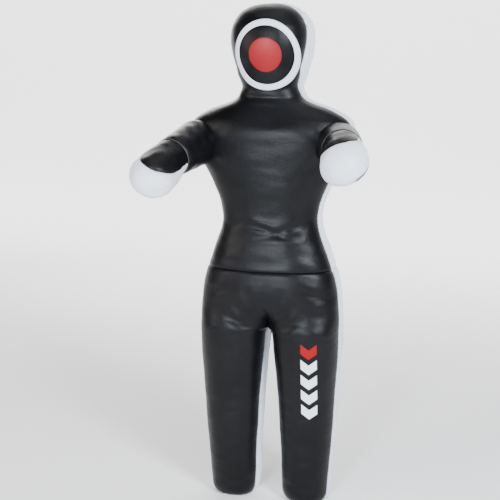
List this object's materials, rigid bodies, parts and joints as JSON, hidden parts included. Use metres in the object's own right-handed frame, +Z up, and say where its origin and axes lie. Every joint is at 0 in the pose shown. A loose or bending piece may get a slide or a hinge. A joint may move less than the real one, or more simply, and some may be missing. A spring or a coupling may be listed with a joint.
{
  "type": "grappling dummy",
  "caption": "Standing stuffed leather training dummy with reaching arms, two legs, side gussets and a round target sewn on a blank hood.",
  "frame": {"origin": "on the floor under the middle of the whole object's box", "axes": "+Z up, -Y the way the face and arms point, +X the dummy's own left"},
  "size_m": [0.6755, 0.5043, 1.52],
  "materials": {
    "black_leather": "satin black grain",
    "white_leather": "satin cool white grain",
    "red_leather": "satin red",
    "stuffing": "shredded textile",
    "zip_tape": "woven tape",
    "zip_metal": "nickel"
  },
  "bodies": {
    "pelvis": {"pelvis_fill": "stuffing", "pelvis_front_panel": "black_leather", "pelvis_back_panel": "black_leather", "pelvis_gusset_left": "white_leather", "pelvis_gusset_right": "white_leather"},
    "chest": {"chest_fill": "stuffing", "chest_front_panel": "black_leather", "chest_gusset_left": "white_leather", "chest_gusset_right": "white_leather", "chest_back_panel_left": "black_leather", "chest_back_panel_right": "black_leather", "zip_tape_left": "zip_tape", "zip_tape_right": "zip_tape", "zip_teeth_left": "zip_metal", "zip_teeth_right": "zip_metal", "zip_bottom_stop": "zip_metal", "zip_top_stop": "zip_metal"},
    "slider": {"zip_slider": "zip_metal"},
    "pull": {"zip_pull_tab": "zip_metal"},
    "neck": {"neck_fill": "stuffing"},
    "head": {"head_fill": "stuffing", "hood_front_panel": "black_leather", "hood_back_panel": "black_leather", "hood_gusset": "white_leather", "target_ring": "white_leather", "target_centre": "red_leather"},
    "shoulder_left": {"shoulder_fill_left": "stuffing"},
    "upper_arm_left": {"upper_arm_fill_left": "stuffing", "upper_arm_sleeve_left": "black_leather"},
    "forearm_left": {"forearm_fill_left": "stuffing", "forearm_top_panel_left": "black_leather", "forearm_bottom_panel_left": "black_leather", "hand_band_left": "white_leather"},
    "thigh_left": {"thigh_fill_left": "stuffing", "thigh_front_panel_left": "black_leather", "thigh_back_panel_left": "black_leather", "thigh_gusset_outer_left": "white_leather", "thigh_gusset_inner_left": "white_leather"},
    "shin_left": {"shin_fill_left": "stuffing", "shin_front_panel_left": "black_leather", "shin_back_panel_left": "black_leather", "shin_gusset_left": "white_leather", "foot_sole_left": "black_leather"},
    "shoulder_right": {"shoulder_fill_right": "stuffing"},
    "upper_arm_right": {"upper_arm_fill_right": "stuffing", "upper_arm_sleeve_right": "black_leather"},
    "forearm_right": {"forearm_fill_right": "stuffing", "forearm_top_panel_right": "black_leather", "forearm_bottom_panel_right": "black_leather", "hand_band_right": "white_leather"},
    "thigh_right": {"thigh_fill_right": "stuffing", "thigh_front_panel_right": "black_leather", "thigh_back_panel_right": "black_leather", "thigh_gusset_outer_right": "white_leather", "thigh_gusset_inner_right": "white_leather"},
    "shin_right": {"shin_fill_right": "stuffing", "shin_front_panel_right": "black_leather", "shin_back_panel_right": "black_leather", "shin_gusset_right": "white_leather", "foot_sole_right": "black_leather"}
  },
  "joints": [
    {"name": "waist_bend", "type": "hinge", "parent": "pelvis", "child": "chest", "pos_m": [0, 0.1203, 0.87], "axis": [1, 0, 0], "range_deg": [-8, 32]},
    {"name": "zip_slide", "type": "slide", "parent": "chest", "child": "slider", "axis": [0, -0.0721, -0.9974], "range_m": [0, 0.148]},
    {"name": "pull_swing", "type": "hinge", "parent": "slider", "child": "pull", "pos_m": [0, 0.24485, 1.09155], "axis": [1, 0, 0], "range_deg": [0, 120]},
    {"name": "neck_nod", "type": "hinge", "parent": "chest", "child": "neck", "pos_m": [0, 0.1203, 1.262], "axis": [1, 0, 0], "range_deg": [-14, 18]},
    {"name": "head_turn", "type": "hinge", "parent": "neck", "child": "head", "pos_m": [0, 0.1203, 1.262], "axis": [0, 0, 1], "range_deg": [-25, 25]},
    {"name": "shoulder_lift_left", "type": "hinge", "parent": "chest", "child": "shoulder_left", "pos_m": [0.214, 0.0403, 1.115], "axis": [-1, 0, 0], "range_deg": [-25, 30]},
    {"name": "arm_spread_left", "type": "hinge", "parent": "shoulder_left", "child": "upper_arm_left", "pos_m": [0.214, 0.0403, 1.115], "axis": [0, 0, 1], "range_deg": [-12, 20]},
    {"name": "elbow_left", "type": "hinge", "parent": "upper_arm_left", "child": "forearm_left", "pos_m": [0.25105, -0.10502, 1.118], "axis": [-0.9018, -0.0715, -0.4261], "range_deg": [-15, 40]},
    {"name": "hip_left", "type": "hinge", "parent": "pelvis", "child": "thigh_left", "pos_m": [0.113, 0.1203, 0.56], "axis": [-1, 0, 0], "range_deg": [-10, 42]},
    {"name": "knee_left", "type": "hinge", "parent": "thigh_left", "child": "shin_left", "pos_m": [0.11808, 0.1203, 0.3], "axis": [1, 0, 0], "range_deg": [0, 42]},
    {"name": "shoulder_lift_right", "type": "hinge", "parent": "chest", "child": "shoulder_right", "pos_m": [-0.214, 0.0403, 1.115], "axis": [-1, 0, 0], "range_deg": [-15, 30]},
    {"name": "arm_spread_right", "type": "hinge", "parent": "shoulder_right", "child": "upper_arm_right", "pos_m": [-0.214, 0.0403, 1.115], "axis": [0, 0, -1], "range_deg": [-12, 20]},
    {"name": "elbow_right", "type": "hinge", "parent": "upper_arm_right", "child": "forearm_right", "pos_m": [-0.25105, -0.10071, 1.07975], "axis": [-0.9168, 0.0287, 0.3983], "range_deg": [-15, 40]},
    {"name": "hip_right", "type": "hinge", "parent": "pelvis", "child": "thigh_right", "pos_m": [-0.113, 0.1203, 0.56], "axis": [-1, 0, 0], "range_deg": [-10, 42]},
    {"name": "knee_right", "type": "hinge", "parent": "thigh_right", "child": "shin_right", "pos_m": [-0.11808, 0.1203, 0.3], "axis": [1, 0, 0], "range_deg": [0, 42]}
  ]
}
